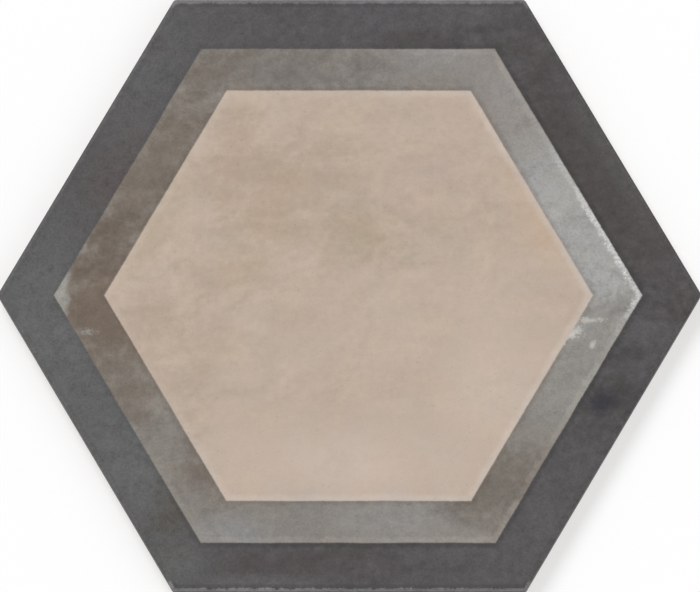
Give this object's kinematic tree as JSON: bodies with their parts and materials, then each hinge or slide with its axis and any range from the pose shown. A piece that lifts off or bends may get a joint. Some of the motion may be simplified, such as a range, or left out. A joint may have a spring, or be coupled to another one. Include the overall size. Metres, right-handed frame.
{
  "type": "hexagon floor tile",
  "caption": "Flat hexagonal porcelain floor tile with a rounded face rim, leaning edge walls and a honeycomb of shallow mortar keys on its back.",
  "frame": {"origin": "under the middle of the tile, on the plane of its back ribs", "axes": "+Z out of the face, +X towards one corner, so two sides run parallel to X"},
  "size_m": [0.2496, 0.2166, 0.01],
  "materials": {
    "fired_clay": "matt, with a cement-look face in three concentric hexagons: beige middle, grey band, charcoal border"
  },
  "bodies": {
    "root": {"hexagon_tile": "fired_clay"}
  },
  "joints": []
}
